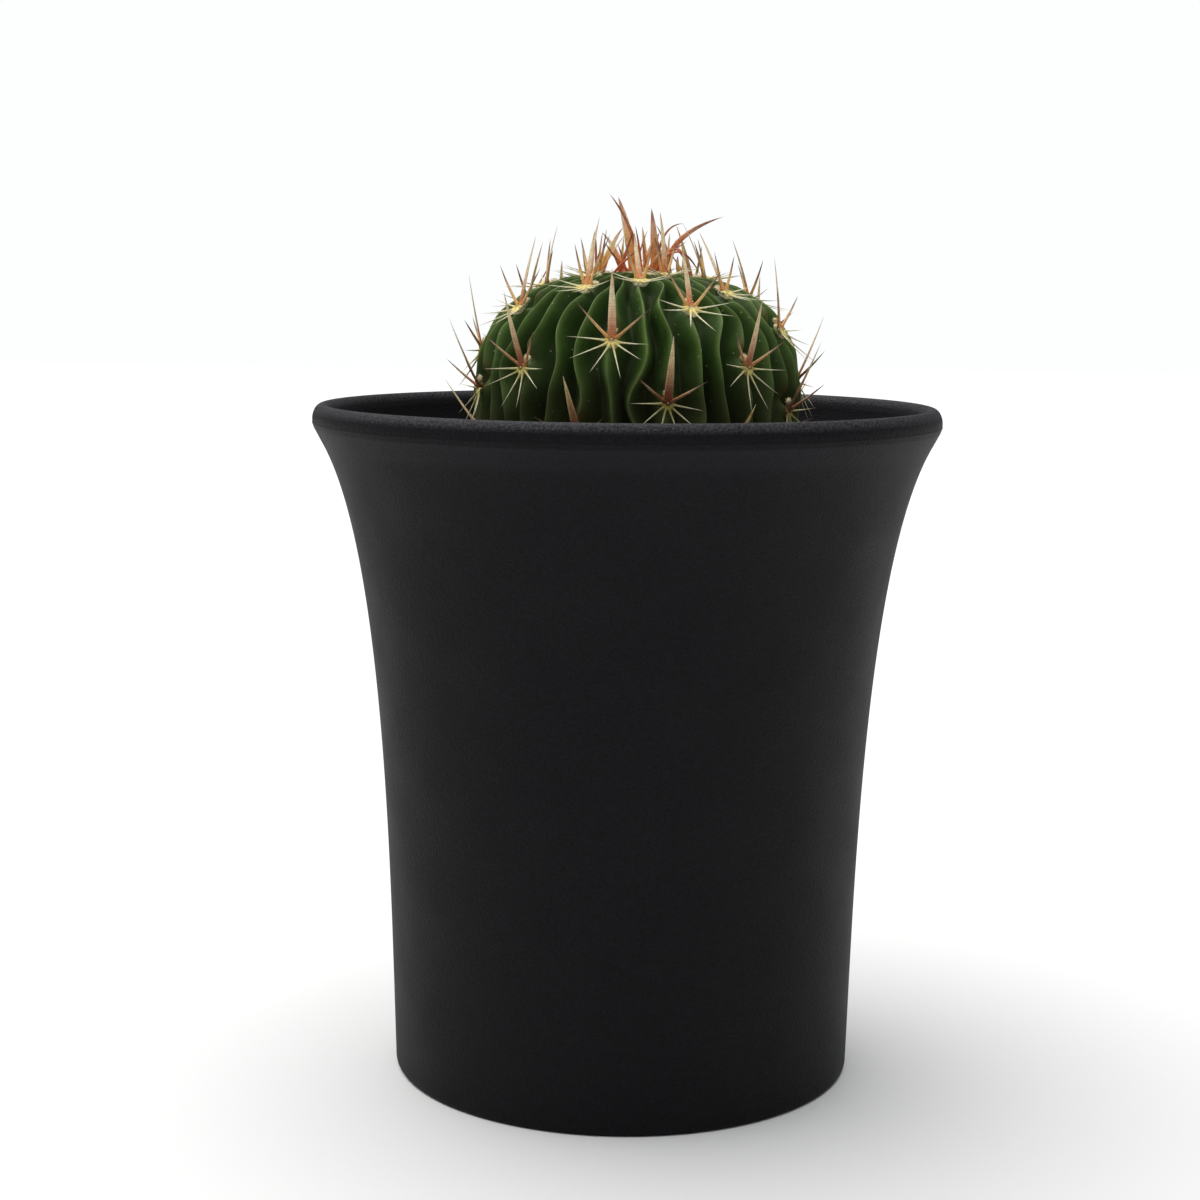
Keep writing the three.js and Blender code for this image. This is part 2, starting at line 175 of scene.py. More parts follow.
def pot_outline():
    """The closed section of the shell, from the centre drain out, up the wall and back inside."""
    wall = wall_outline(90)
    outside = wall[wall[:, 1] > FOOT_EDGE]
    bead = arc_outline(
        (RIM_RADIUS - BEAD_WIDTH / 2, POT_HEIGHT - BEAD_HEIGHT / 2),
        (BEAD_WIDTH / 2, BEAD_HEIGHT / 2),
        *BEAD_TURN,
        60,
    )
    from_seam = (bead[:, 1] - POT_HEIGHT + PARTING_DROP) / PARTING_WIDTH
    bead[:, 0] += PARTING_LINE * np.exp(-(from_seam**2)) * (bead[:, 0] > RIM_RADIUS - 1)
    inner = wall[::-1] - [WALL, 0]
    inner = inner[inner[:, 1] > FLOOR_TOP + FLOOR_FILLET + 0.2]
    corner_radius = np.interp(FLOOR_TOP, wall[:, 1], wall[:, 0]) - WALL
    fillet = arc_outline(
        (corner_radius - FLOOR_FILLET, FLOOR_TOP + FLOOR_FILLET),
        (FLOOR_FILLET, FLOOR_FILLET),
        0,
        -90,
        7,
    )
    foot_outer = arc_outline((FOOT_RADIUS - FOOT_EDGE, FOOT_EDGE), (FOOT_EDGE, FOOT_EDGE), -90, -5, 6)
    ring_inner = FOOT_RADIUS - FOOT_RING
    at_floor, at_table = RING_CHAMFERS
    ring = np.array(
        [
            [ring_inner - at_floor, FLOOR_RISE],
            [ring_inner, FLOOR_RISE - at_floor],
            [ring_inner, at_table],
            [ring_inner + at_table, 0],
        ]
    )
    flat = np.array([CENTRE_DRAIN_RADIUS, DRAIN_CIRCLE / 2, ring_inner - FLAT_FLOOR_MARGIN])
    floor_under = np.column_stack([flat, np.full(3, FLOOR_RISE)])
    floor_over = np.column_stack([flat[::-1], np.full(3, FLOOR_TOP)])
    return np.vstack([floor_under, ring, foot_outer, outside, bead, inner, fillet, floor_over])


def ring_faces(rings, around, closed_section):
    """Quads between rings of vertices numbered ring by ring, each ring closed on itself."""
    ring = np.arange(rings if closed_section else rings - 1)[:, None]
    step = np.arange(around)[None, :]
    after = (step + 1) % around
    above = (ring + 1) % rings
    corners = [ring * around + step, ring * around + after, above * around + after, above * around + step]
    return np.stack(np.broadcast_arrays(*corners), axis=-1).reshape(-1, 4)


def revolved(outline, around):
    """Each [radius, height] row carried once round the Z axis, as vertices ring by ring."""
    angle = np.linspace(0, 2 * np.pi, around, endpoint=False)
    radius = outline[:, :1]
    height = np.broadcast_to(outline[:, 1:], (len(outline), around))
    return np.stack([radius * np.cos(angle), radius * np.sin(angle), height], axis=-1).reshape(-1, 3)


def facing_out(piece):
    """Turns every face of a closed mesh outwards."""
    shell = bmesh.new()
    shell.from_mesh(piece.data)
    bmesh.ops.recalc_face_normals(shell, faces=shell.faces)
    shell.to_mesh(piece.data)
    shell.free()


def noise_node(tree, scale, detail=4.0, roughness=0.5, vector=None):
    """A noise texture in the object's own coordinates, scale in features per metre."""
    noise = tree.nodes.new("ShaderNodeTexNoise")
    noise.inputs["Scale"].default_value = scale
    noise.inputs["Detail"].default_value = detail
    noise.inputs["Roughness"].default_value = roughness
    if vector is None:
        vector = tree.nodes.new("ShaderNodeTexCoord").outputs["Object"]
    tree.links.new(vector, noise.inputs["Vector"])
    return noise.outputs["Fac"]


def ramp_node(tree, value, stops):
    """A colour ramp over a value, from stops of (place, (red, green, blue))."""
    ramp = tree.nodes.new("ShaderNodeValToRGB")
    elements = ramp.color_ramp.elements
    while len(elements) < len(stops):
        elements.new(0.5)
    for element, (place, colour) in zip(elements, stops):
        element.position = place
        element.color = (*colour, 1)
    tree.links.new(value, ramp.inputs["Fac"])
    return ramp.outputs["Color"]


def stored_node(tree, name):
    """A number that the mesh stores under a name."""
    stored = tree.nodes.new("ShaderNodeAttribute")
    stored.attribute_name = name
    return stored.outputs["Fac"]


def range_node(tree, value, from_range=(0.0, 1.0), to_range=(0.0, 1.0)):
    """A value carried from one range to another and held at its ends."""
    carried = tree.nodes.new("ShaderNodeMapRange")
    carried.inputs["From Min"].default_value, carried.inputs["From Max"].default_value = from_range
    carried.inputs["To Min"].default_value, carried.inputs["To Max"].default_value = to_range
    tree.links.new(value, carried.inputs["Value"])
    return carried.outputs["Result"]


def mix_node(tree, factor, under, over):
    """One colour over another by a factor, where the one on top is a node's or a plain colour."""
    mix = tree.nodes.new("ShaderNodeMix")
    mix.data_type = "RGBA"
    tree.links.new(factor, mix.inputs["Factor"])
    tree.links.new(under, mix.inputs[6])
    if isinstance(over, tuple):
        mix.inputs[7].default_value = (*over, 1)
    else:
        tree.links.new(over, mix.inputs[7])
    return mix.outputs[2]


def multiply_node(tree, colour, shade):
    """One node's colour times another's."""
    product = tree.nodes.new("ShaderNodeMix")
    product.data_type = "RGBA"
    product.blend_type = "MULTIPLY"
    product.inputs["Factor"].default_value = 1
    tree.links.new(colour, product.inputs[6])
    tree.links.new(shade, product.inputs[7])
    return product.outputs[2]


def bump_node(tree, shader, height, strength, distance):
    """Roughens a shader's surface by a height value, distance in metres."""
    bump = tree.nodes.new("ShaderNodeBump")
    bump.inputs["Strength"].default_value = strength
    bump.inputs["Distance"].default_value = distance
    tree.links.new(height, bump.inputs["Height"])
    tree.links.new(bump.outputs["Normal"], shader.inputs["Normal"])


black_plastic, tree, shader = node_material("grained_black_plastic")
grain = noise_node(tree, 2600, detail=3)
blotch = noise_node(tree, 90, detail=5)
moulded = ramp_node(tree, grain, [(0.3, (0.002, 0.0017, 0.0024)), (0.75, (0.0072, 0.0063, 0.0088))])
surface = tree.nodes.new("ShaderNodeNewGeometry")
slant = tree.nodes.new("ShaderNodeSeparateXYZ")
tree.links.new(surface.outputs["Normal"], slant.inputs["Vector"])
facing_up = range_node(tree, slant.outputs["Z"], (0.22, 0.5))
# Faces that look up are lighter, with a fine speckle: partly dust and partly painted light falling on the
# rim's top.
dust_and_top_light = ramp_node(
    tree,
    noise_node(tree, 2900, detail=2),
    [(0.36, (0.01, 0.01, 0.012)), (0.66, (0.052, 0.051, 0.058))],
)
dusted_and_top_lit = mix_node(tree, facing_up, moulded, dust_and_top_light)
# Faces that look in towards the axis, the pot's inside, are painted a lighter grey: painted fill light for
# the inside, which the stem and the near wall shade.
towards_axis = tree.nodes.new("ShaderNodeVectorMath")
towards_axis.operation = "DOT_PRODUCT"
tree.links.new(surface.outputs["Normal"], towards_axis.inputs[0])
tree.links.new(tree.nodes.new("ShaderNodeTexCoord").outputs["Object"], towards_axis.inputs[1])
facing_in = range_node(tree, towards_axis.outputs["Value"], (0.0, -0.03))
pot_colour_with_painted_light = mix_node(tree, facing_in, dusted_and_top_lit, (0.021, 0.019, 0.023))
tree.links.new(pot_colour_with_painted_light, shader.inputs["Base Color"])
dullness = range_node(tree, blotch, to_range=(0.5, 0.68))
tree.links.new(dullness, shader.inputs["Roughness"])
shader.inputs["Specular IOR Level"].default_value = 0.13
bump_node(tree, shader, grain, 0.85, 0.00018)

section = pot_outline()
AROUND_POT = 288
AROUND_PIN = 40
pot = mesh_piece(
    "pot_shell",
    revolved(section, AROUND_POT),
    ring_faces(len(section), AROUND_POT, closed_section=True),
    [black_plastic],
)
facing_out(pot)
hole_pins = []
for i in range(DRAIN_COUNT):
    heading = 2 * np.pi * i / DRAIN_COUNT
    pin_outline = np.array([[DRAIN_RADIUS, -1.0], [DRAIN_RADIUS, FLOOR_TOP + 1.0]])
    pin_points = revolved(pin_outline, AROUND_PIN) + [
        DRAIN_CIRCLE * np.cos(heading),
        DRAIN_CIRCLE * np.sin(heading),
        0,
    ]
    pin_faces = ring_faces(2, AROUND_PIN, closed_section=False).tolist() + [
        list(range(AROUND_PIN))[::-1],
        list(range(AROUND_PIN, 2 * AROUND_PIN)),
    ]
    pin = mesh_piece(f"drain_pin_{i}", pin_points, pin_faces, [black_plastic])
    facing_out(pin)
    drill = pot.modifiers.new(f"drain_{i}", "BOOLEAN")
    drill.object = pin
    drill.solver = "EXACT"
    hole_pins.append(pin)
drilled = bpy.data.meshes.new_from_object(pot.evaluated_get(bpy.context.evaluated_depsgraph_get()))
pot.modifiers.clear()
pot.data = drilled
for pin in hole_pins:
    bpy.data.objects.remove(pin)
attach(pot, "root")
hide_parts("pot")


# --- Stem ---------------------------------------------------------------------------------------
# The living body, one piece: a low dome with 34 thin ribs that sway round the areoles beside
# them. Waxy dark green skin with a painted highlight along the rib edges, painted fill light in
# the grooves and low down, and a root neck that tapers down in the soil.
PLANT_OFFSET = np.array([1.6, 0, 0])
SOIL_TOP = 96
STEM_RADIUS = 26.5
WAIST_HEIGHT = 110
DOME_RISE = 21.2
DOME_POWER = 2.7
COLLAR_RADIUS = 23.5
ROOT_DEPTH = 22
RIBS = 34
RIB_DEPTH = 4.6
RIB_FADE = 0.9  # the ribs grow flatter towards the crown as the radius to this power
EDGE_SHARPNESS = 0.965
RIB_SWAY = 3.4  # degrees that an areole pushes the neighbouring ribs aside
SWAY_REACH = 6.5  # and how far along the rib, in mm
NOTCH = (1.3, 1.1, 1.2)  # depth, half width and half height of the notch above each areole
NOTCH_ABOVE = 1.9
SEAT = (0.5, 1.5, 2.5)  # likewise for the shallow hollow that the areole sits in
WAVE_LENGTH = 11.5  # along a rib, for its slow sideways waves
WAVE_SWAY = 0.35  # mm to either side
WAVE_CALM_RADIUS = 8  # closer to the axis than this the sway fades
WAVE_SHIFT = (2.4, 1.3)  # each rib's waves start shifted by this times its number to this power
RIPPLE_LENGTH = 7.0
RIPPLE_DEPTH = 0.12
RIPPLE_SHIFT = 1.7
APEX_DIP = 0.6
PAINTED_LOW_FILL_STARTS = 119  # below this height the skin blends towards a lighter brown: painted shade colour and fill light
PAINTED_LOW_FILL_FULL = 107
SPIRAL_START = -10
SPIRAL_TURN = 13 / RIBS
FIRST_AREOLE = -16
LAST_AREOLE = 19
AREOLE_PLACE = 0.527
AREOLE_STEP = 0.0232
AREOLE_CROWDING = 0.00011
LEAN = {-8: -2, -5: -2, -3: -3, 2: -4, 10: -3}  # degrees that an areole grew out of its row
UNEVEN_GROWTH = {  # shares of the way to the soil that single areoles sit off the even rule
    -11: -0.03,
    -10: -0.065,
    -5: -0.026,
    -3: 0.012,
    2: 0.015,
    3: -0.04,
    8: -0.045,
    10: 0.028,
}


def shoot_outline():
    """Radius and height of the part above the soil: a superellipse dome, then a slight taper."""
    angle = np.linspace(0, np.pi / 2, 1500)
    dome = np.column_stack(
        [
            STEM_RADIUS * np.sin(angle) ** (2 / DOME_POWER),
            WAIST_HEIGHT + DOME_RISE * np.cos(angle).clip(0) ** (2 / DOME_POWER),
        ]
    )
    share = np.linspace(0, 1, 200)[1:]
    taper = np.column_stack(
        [
            STEM_RADIUS - (STEM_RADIUS - COLLAR_RADIUS) * share**2,
            WAIST_HEIGHT - (WAIST_HEIGHT - SOIL_TOP) * share,
        ]
    )
    return np.vstack([dome, taper])


shoot = shoot_outline()
shoot_arc = np.concatenate([[0], np.cumsum(np.hypot(*np.diff(shoot, axis=0).T))])
SHOOT_LENGTH = shoot_arc[-1]
slope = np.gradient(shoot, shoot_arc, axis=0)
slope /= np.linalg.norm(slope, axis=1, keepdims=True)


def outline_at(arc):
    """Radius, height, and the outline's outward and downward run, at distances from the crown."""
    columns = [shoot[:, 0], shoot[:, 1], slope[:, 0], slope[:, 1]]
    return [np.interp(arc, shoot_arc, column) for column in columns]


def areole_arc(k):
    """Distance of areole k from the crown along the outline.

    As a share of the way to the soil it falls by a step for each k. A small term in k times its
    own size shortens the steps towards both ends, and a few areoles sit off this rule.
    """
    even = AREOLE_PLACE - AREOLE_STEP * k + AREOLE_CROWDING * k * abs(k)
    return SHOOT_LENGTH * (even + UNEVEN_GROWTH.get(k, 0))


def row_heading(k):
    """Heading of areole k's rib from the front: 13/34 of a turn for each step up the spiral."""
    return np.radians(SPIRAL_START) - 2 * np.pi * SPIRAL_TURN * k


def areole_heading(k):
    """Heading of areole k itself, with its lean."""
    return row_heading(k) + np.radians(LEAN.get(k, 0))


AREOLES = range(FIRST_AREOLE, LAST_AREOLE + 1)
RIB_SPACING = 2 * np.pi / RIBS


def rib_depth_share(across):
    """Depth across half a rib, 0 on the crest and 1 in the groove: flat flanks, rounded at both."""
    return 0.5 - np.arcsin(EDGE_SHARPNESS * np.cos(np.pi * across)) / (2 * np.arcsin(EDGE_SHARPNESS))


def turn_between(heading, other):
    """The angle from one heading to another, at most half a turn either way."""
    return np.angle(np.exp(1j * (heading - other)))


def dent(sideways, along, depth, half_width, half_height):
    """A soft dent: its depth times e to the minus of both squared distances, in half sizes."""
    return depth * np.exp(-((sideways / half_width) ** 2) - (along / half_height) ** 2)


def stem_surface(arc, rib_place):
    """The skin at distances from the crown and places round the stem, counted in ribs.

    Each point starts on the smooth outline, is turned aside by the areoles near it and by a sine
    wave along its rib, and is then set inwards along the outline's normal by the rib's depth, a
    notch above each areole, a shallow seat under it and a slight ripple.
    """
    heading = np.radians(SPIRAL_START) + rib_place * RIB_SPACING
    across = 2 * np.abs(rib_place - np.round(rib_place))
    radius, height, outward, downward = outline_at(arc)
    turned = heading.copy()
    inset = RIB_DEPTH * (radius / STEM_RADIUS) ** RIB_FADE * rib_depth_share(across)
    for k in AREOLES:
        apart = turn_between(heading, row_heading(k)) / RIB_SPACING
        along = arc - areole_arc(k)
        reach = np.exp(-0.5 * apart**2 - (along / SWAY_REACH) ** 2)
        turned += np.radians(RIB_SWAY * apart * np.exp(0.5) + LEAN.get(k, 0)) * reach
        sideways = apart * RIB_SPACING * radius
        inset += dent(sideways, along + NOTCH_ABOVE, *NOTCH)
        inset += dent(sideways, along, *SEAT)
    shift, power = WAVE_SHIFT
    wave = np.sin(2 * np.pi * arc / WAVE_LENGTH + shift * np.round(rib_place) ** power)
    turned += WAVE_SWAY * wave * (1 - across**2) / np.maximum(radius, WAVE_CALM_RADIUS)
    inset += RIPPLE_DEPTH * np.sin(2 * np.pi * arc / RIPPLE_LENGTH + RIPPLE_SHIFT * np.round(rib_place))
    r = radius + downward * inset
    z = height - outward * inset
    return np.stack([r * np.sin(turned), -r * np.cos(turned), z], axis=-1)


def float_attribute(piece, name, values):
    """Stores one number for each vertex under a name that materials can read."""
    attribute = piece.data.attributes.new(name, "FLOAT", "POINT")
    attribute.data.foreach_set("value", np.ascontiguousarray(values, np.float32).ravel())


SAMPLES_PER_RIB = 20
STEM_ROWS = 128
NECK_ROWS = 7
CREST_CROWDING = 1.3  # powers that draw the samples closer to a rib's crest
CROWN_CROWDING = 1.05  # and the rows closer to the crown
within_rib = np.linspace(-1, 1, SAMPLES_PER_RIB, endpoint=False)
within_rib = 0.5 * np.sign(within_rib) * np.abs(within_rib) ** CREST_CROWDING
rib_places = (np.arange(RIBS)[:, None] + within_rib).ravel()
row_arcs = SHOOT_LENGTH * (np.arange(1, STEM_ROWS + 1) / STEM_ROWS) ** CROWN_CROWDING
arc_grid, place_grid = np.meshgrid(row_arcs, rib_places, indexing="ij")
skin = stem_surface(arc_grid, place_grid)
neck_share = np.linspace(0, 1, NECK_ROWS + 2)[1:-1]
neck = skin[-1][None] * (1 - neck_share**2)[:, None, None]
neck[..., 2] = (SOIL_TOP - ROOT_DEPTH * neck_share)[:, None]
rings = np.concatenate([skin, neck])
ring_count, around = rings.shape[:2]
apex = np.array([[0, 0, shoot[0, 1] - APEX_DIP], [0, 0, SOIL_TOP - ROOT_DEPTH]])
stem_points = np.concatenate([rings.reshape(-1, 3), apex]) + PLANT_OFFSET
ends = ring_count * around
top_fan = [[ends, i, (i + 1) % around] for i in range(around)]
last = (ring_count - 1) * around
root_fan = [[ends + 1, last + (i + 1) % around, last + i] for i in range(around)]
stem_faces = ring_faces(ring_count, around, closed_section=False).tolist() + top_fan + root_fan

green_skin, tree, shader = node_material("waxy_green_skin")
across_rib = stored_node(tree, "across_rib")
mottle = noise_node(tree, 260, detail=6, roughness=0.6)
fine = noise_node(tree, 2200, detail=3)
# Colour across the rib: the crests are painted lighter, a painted highlight, and the groove bottoms lighter
# than the flanks, painted fill light against the grooves' shade.
rib_colour_with_painted_light = ramp_node(
    tree,
    across_rib,
    [
        (0.0, (0.135, 0.21, 0.062)),
        (0.1, (0.098, 0.165, 0.04)),
        (0.28, (0.044, 0.09, 0.018)),
        (0.6, (0.031, 0.066, 0.013)),
        (1.0, (0.046, 0.066, 0.025)),
    ],
)
patches = ramp_node(tree, mottle, [(0.3, (0.72, 0.74, 0.7)), (0.7, (1.22, 1.2, 1.15))])
shaded = multiply_node(tree, rib_colour_with_painted_light, patches)
dots = tree.nodes.new("ShaderNodeTexVoronoi")
dots.inputs["Scale"].default_value = 560
tree.links.new(tree.nodes.new("ShaderNodeTexCoord").outputs["Object"], dots.inputs["Vector"])
speck = tree.nodes.new("ShaderNodeMath")
speck.operation = "LESS_THAN"
speck.inputs[1].default_value = 0.075
tree.links.new(dots.outputs["Distance"], speck.inputs[0])
specked = mix_node(tree, speck.outputs["Value"], shaded, (0.3, 0.36, 0.24))
height = tree.nodes.new("ShaderNodeSeparateXYZ")
tree.links.new(tree.nodes.new("ShaderNodeTexCoord").outputs["Object"], height.inputs["Vector"])
# Low on the stem, where the pot shades it, the colour blends towards a lighter brown: painted shade colour
# and fill light.
painted_low_fill_heights = (PAINTED_LOW_FILL_STARTS * 0.001, PAINTED_LOW_FILL_FULL * 0.001)
painted_low_fill_share = range_node(tree, height.outputs["Z"], painted_low_fill_heights, (0.0, 0.55))
low_fill_painted = mix_node(tree, painted_low_fill_share, specked, (0.088, 0.078, 0.045))
browned = mix_node(tree, stored_node(tree, "scorch"), low_fill_painted, (0.1, 0.045, 0.018))
tree.links.new(browned, shader.inputs["Base Color"])
wax = range_node(tree, across_rib, (0.55, 1.0), (0.48, 1.0))
tree.links.new(wax, shader.inputs["Roughness"])
shader.inputs["Specular IOR Level"].default_value = 0.16
bump_node(tree, shader, fine, 0.3, 0.00008)

stem = mesh_piece("stem_body", stem_points, stem_faces, [green_skin])
facing_out(stem)
across_values = 2 * np.abs(place_grid - np.round(place_grid))
neck_values = np.broadcast_to(across_values[-1], (len(neck), around))
float_attribute(
    stem,
    "across_rib",
    np.concatenate([across_values.ravel(), neck_values.ravel(), [1.0, 1.0]]),
)
SCORCH_STRENGTH = 0.65  # of the brown scar on the rib's crest above each areole
SCORCH_ABOVE = 3.6
SCORCH_HALF_SIZES = (0.4 * RIB_SPACING, 1.8)
CREST_SHARE = 0.18  # how far down the flank the scar reaches
crest_only = np.exp(-((across_values / CREST_SHARE) ** 2))
heading_grid = np.radians(SPIRAL_START) + place_grid * RIB_SPACING
scorched = np.zeros_like(arc_grid)
for k in AREOLES:
    rib_turn = turn_between(heading_grid, row_heading(k))
    above = arc_grid - areole_arc(k) + SCORCH_ABOVE
    scorched += dent(rib_turn, above, SCORCH_STRENGTH * crest_only, *SCORCH_HALF_SIZES)
float_attribute(stem, "scorch", np.concatenate([scorched.ravel(), np.zeros(len(neck) * around + 2)]))
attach(stem, "root")
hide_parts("stem")


# --- Areoles and spines -------------------------------------------------------------------------
# Each areole is a felted cushion in a notch of its rib, with a tuft of wool at its upper end. It
# carries one flat papery spine that points up, two stout side spines and six pale needles. Young
# clusters are golden and a little shorter, old ones dull brown, and all share one usual star.
OLD_UNTIL = -9  # areoles up to this one are wholly old
YOUTH_SPAN = 14  # and this many further on they are wholly young
CUSHION = np.array([0.75, 1.0, 0.45])  # half sizes: across, along the rib, outwards
CUSHION_SINK = 0.4
CUSHION_GROWTH = 0.45  # share that a wholly young one is larger
CUSHION_HAIRS = (70, 110)  # on an old areole, and how many more on a young one
CUSHION_HAIR_LENGTH = (0.2, 0.14)  # likewise
TUFT = np.array([0.6, 0.5, 0.3])
TUFT_PLACE = (1.6, 0.2)  # up the rib and outwards from the areole's seat
TUFT_GROWTH = 0.3
TUFT_HAIRS = 130
TUFT_HAIR_LENGTH = 0.32
CORE = np.array([0.26, 0.2, 0.22])  # a small knob of felt in the middle, where the spines meet
CORE_PLACE = (0.1, 0.6)
HAIR = {"width": 0.07, "thickness": 0.07, "sides": 3, "stations": 3, "fullness": 1.0}
HAIR_OUTWARD = 0.6  # how strongly the hairs tend outwards
HAIR_ROOTS = (0.75, 0.98)  # shares of the cushion's half sizes that they start at
HAIR_SPREAD = (0.5, 1.2)
HAIR_CURL = 0.7
SPINE_FORMS = {
    "flat": {"width": 1.34, "thickness": 0.3, "bow": 1.3, "sides": 10, "stations": 18, "fullness": 2.3},
    "side": {"width": 0.5, "thickness": 0.42, "bow": 0.5, "sides": 8, "stations": 12, "fullness": 2.2},
    "needle": {"width": 0.36, "thickness": 0.32, "bow": -0.4, "sides": 6, "stations": 10, "fullness": 1.15},
}
SPINE_KINDS = ["flat", "side", "needle", "wool", "crown"]
FOOT_REACH = {"flat": 0.2, "side": 0.4, "needle": 0.45}  # mm from the areole's middle to a spine's foot
FOOT_SPREAD = 0.5  # share that the feet of a wholly young areole stand farther out
FOOT_LIFT = 0.25
# Each row: kind, turn from the crown's direction and rise off the skin in degrees, length in mm
USUAL_STAR = [
    ("flat", 0, 30, 10.5),
    ("side", -55, 30, 8),
    ("side", 55, 30, 7.5),
    ("needle", -90, 15, 6.5),
    ("needle", -125, 15, 6.5),
    ("needle", -160, 15, 7),
    ("needle", 165, 15, 7),
    ("needle", 130, 15, 6.5),
    ("needle", 95, 15, 6),
]
TURN_SPREAD = 5  # degrees
LENGTH_SPREAD = (0.88, 1.08)
UPRIGHT_SPREAD = (0.6, 1.0)  # how nearly upright the stout spines stand where the skin faces up
SIDE_CURVE = 0.25
SHORTER_FROM = 3  # the spines get shorter from this areole on
SHORTER_OVER = 6  # for this many areoles
SHORTER_BY = 0.12  # until they have lost this share
BROAD_FLAT_UNTIL = 3  # on areoles younger than this one the flat spine is narrow still
NARROW_FLAT = 0.72
TINT_SPREAD = 0.12
SOIL_CLEARANCE = 0.8
TUFT_SIDE = {-5: 0.7, -3: -0.5, 2: 0.4, 8: 0.6, 11: 0.5}  # mm that the tuft sits beside the flat spine


def spine_finish(name, old_stops, young_stops, bands, roughness, clearness):
    """A dry spine's skin: colour from foot to tip, by age, with streaks and bands across it."""
    material, tree, shader = node_material(name)
    along = stored_node(tree, "along_spine")
    old_colour = ramp_node(tree, along, old_stops)
    young_colour = ramp_node(tree, along, young_stops)
    aged = mix_node(tree, stored_node(tree, "youth"), old_colour, young_colour)
    streak = noise_node(tree, 1400, detail=4, roughness=0.6)
    if bands:
        count = tree.nodes.new("ShaderNodeMath")
        count.operation = "MULTIPLY"
        count.inputs[1].default_value = bands * 2 * np.pi
        tree.links.new(along, count.inputs[0])
        wave = tree.nodes.new("ShaderNodeMath")
        wave.operation = "SINE"
        tree.links.new(count.outputs["Value"], wave.inputs[0])
        banded = tree.nodes.new("ShaderNodeMath")
        banded.operation = "MULTIPLY_ADD"
        banded.inputs[1].default_value = 0.06
        tree.links.new(wave.outputs["Value"], banded.inputs[0])
        tree.links.new(streak, banded.inputs[2])
        streak = banded.outputs["Value"]
    streaks = ramp_node(tree, streak, [(0.32, (0.84, 0.81, 0.78)), (0.68, (1.22, 1.2, 1.18))])
    tree.links.new(multiply_node(tree, aged, streaks), shader.inputs["Base Color"])
    shader.inputs["Roughness"].default_value = roughness
    shader.inputs["Specular IOR Level"].default_value = 0.2
    shader.inputs["Subsurface Weight"].default_value = clearness
    shader.inputs["Subsurface Radius"].default_value = (1.0, 0.75, 0.5)
    shader.inputs["Subsurface Scale"].default_value = 0.0005
    bump_node(tree, shader, streak, 0.4, 0.00006)
    return material


flat_skin = spine_finish(
    "papery_flat_spine",
    [
        (0, (0.2, 0.05, 0.025)),
        (0.16, (0.3, 0.11, 0.06)),
        (0.38, (0.55, 0.36, 0.21)),
        (0.65, (0.8, 0.64, 0.39)),
        (0.88, (0.78, 0.63, 0.4)),
        (1, (0.12, 0.07, 0.05)),
    ],
    [
        (0, (0.6, 0.17, 0.06)),
        (0.14, (0.74, 0.34, 0.16)),
        (0.36, (0.88, 0.62, 0.42)),
        (0.68, (0.92, 0.77, 0.52)),
        (0.86, (0.6, 0.4, 0.26)),
        (1, (0.08, 0.045, 0.04)),
    ],
    24,
    0.5,
    0.45,
)
side_skin = spine_finish(
    "brown_side_spine",
    [
        (0, (0.22, 0.055, 0.025)),
        (0.28, (0.33, 0.15, 0.08)),
        (0.55, (0.46, 0.33, 0.21)),
        (0.78, (0.24, 0.15, 0.11)),
        (1, (0.04, 0.025, 0.024)),
    ],
    [
        (0, (0.72, 0.33, 0.08)),
        (0.3, (0.86, 0.57, 0.24)),
        (0.55, (0.6, 0.41, 0.23)),
        (0.78, (0.2, 0.12, 0.09)),
        (1, (0.04, 0.024, 0.024)),
    ],
    0,
    0.45,
    0.15,
)
needle_skin = spine_finish(
    "straw_needle",
    [(0, (0.44, 0.38, 0.07)), (0.12, (0.6, 0.56, 0.2)), (0.42, (0.82, 0.8, 0.5)), (1, (0.66, 0.58, 0.38))],
    [(0, (0.84, 0.68, 0.2)), (0.15, (0.88, 0.8, 0.42)), (0.5, (0.9, 0.88, 0.66)), (1, (0.76, 0.7, 0.5))],
    0,
    0.55,
    0,
)
crown_skin = spine_finish(
    "fresh_crown_spine",
    [
        (0, (0.5, 0.1, 0.035)),
        (0.35, (0.56, 0.17, 0.08)),
        (0.6, (0.5, 0.2, 0.11)),
        (0.8, (0.22, 0.1, 0.07)),
        (1, (0.05, 0.035, 0.035)),
    ],
    [
        (0, (0.72, 0.24, 0.08)),
        (0.2, (0.9, 0.48, 0.13)),
        (0.5, (0.95, 0.68, 0.32)),
        (0.72, (0.96, 0.78, 0.62)),
        (0.88, (0.6, 0.36, 0.28)),
        (1, (0.08, 0.05, 0.05)),
    ],
    0,
    0.42,
    0.6,
)
wool_felt, tree, shader = node_material("cream_wool")
felt_noise = noise_node(tree, 1800)
old_felt = ramp_node(tree, felt_noise, [(0.3, (0.2, 0.08, 0.03)), (0.7, (0.5, 0.28, 0.12))])
new_felt = ramp_node(tree, felt_noise, [(0.3, (0.93, 0.8, 0.44)), (0.7, (0.97, 0.93, 0.72))])
felt_colour = mix_node(tree, stored_node(tree, "youth"), old_felt, new_felt)
tree.links.new(felt_colour, shader.inputs["Base Color"])
shader.inputs["Roughness"].default_value = 0.95
shader.inputs["Specular IOR Level"].default_value = 0.08
shader.inputs["Sheen Weight"].default_value = 0.8
shader.inputs["Sheen Tint"].default_value = (1.0, 0.93, 0.72, 1)
bump_node(tree, shader, noise_node(tree, 5200, detail=3), 0.5, 0.0001)
SPINE_SKINS = [flat_skin, side_skin, needle_skin, wool_felt, crown_skin]


def unit(vector):
    """Vectors scaled to length one along their last axis."""
    return vector / np.linalg.norm(vector, axis=-1, keepdims=True)


BULB_FADE = 0.5  # a spine's foot is swollen over about this length
BULB_EXTRA = (0.3, 0.4)  # mm added to its half width and half thickness


